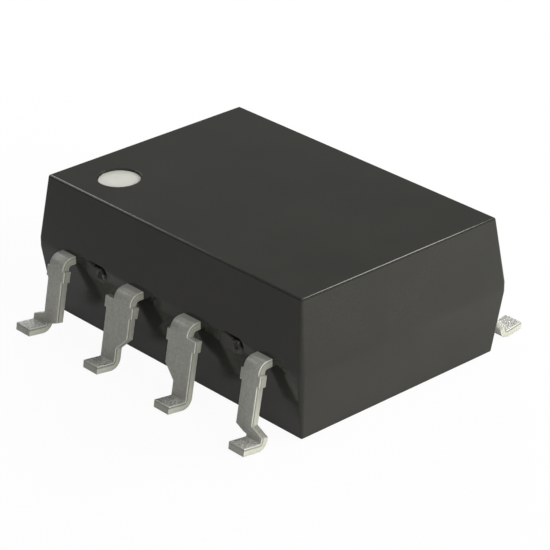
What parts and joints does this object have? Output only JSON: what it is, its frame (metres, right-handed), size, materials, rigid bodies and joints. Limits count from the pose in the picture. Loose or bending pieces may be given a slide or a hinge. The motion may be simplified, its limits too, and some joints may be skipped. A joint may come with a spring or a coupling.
{
  "type": "optocoupler",
  "caption": "Black moulded surface-mount optocoupler with gull-wing leads along both long sides, a recessed pin-one dot, and facing emitter and detector frames inside.",
  "frame": {"origin": "centre of the footprint, on the board that the heels of the leads rest on", "axes": "+X along the lead rows from lead 1 to lead 4, +Y from leads 1-4 to leads 5-8, +Z away from the board"},
  "size_m": [0.0092, 0.0088, 0.0036],
  "materials": {
    "black_resin": "satin moulded epoxy with fine grain",
    "white_ink": "matt ink",
    "tinned_lead": "matt tin plating",
    "clear_resin": "translucent moulded epoxy",
    "clear_gel": "clear gel",
    "emitter_crystal": "sawn crystal",
    "silicon": "polished and metallised",
    "silver_adhesive": "matt",
    "gold_wire": "drawn"
  },
  "bodies": {
    "root": {"body": "black_resin", "pin_1_dot": "white_ink", "lead_1": "tinned_lead", "lead_2": "tinned_lead", "lead_3": "tinned_lead", "lead_4": "tinned_lead", "lead_5": "tinned_lead", "lead_6": "tinned_lead", "lead_7": "tinned_lead", "lead_8": "tinned_lead", "inner_mould_1": "clear_resin", "inner_mould_2": "clear_resin", "emitter_chip_1": "emitter_crystal", "emitter_chip_2": "emitter_crystal", "emitter_attach_1": "silver_adhesive", "emitter_attach_2": "silver_adhesive", "emitter_gel_1": "clear_gel", "emitter_gel_2": "clear_gel", "emitter_wire_1": "gold_wire", "emitter_wire_2": "gold_wire", "detector_chip_1": "silicon", "detector_chip_2": "silicon", "detector_attach_1": "silver_adhesive", "detector_attach_2": "silver_adhesive", "detector_wire_1": "gold_wire", "detector_wire_2": "gold_wire"}
  },
  "joints": []
}
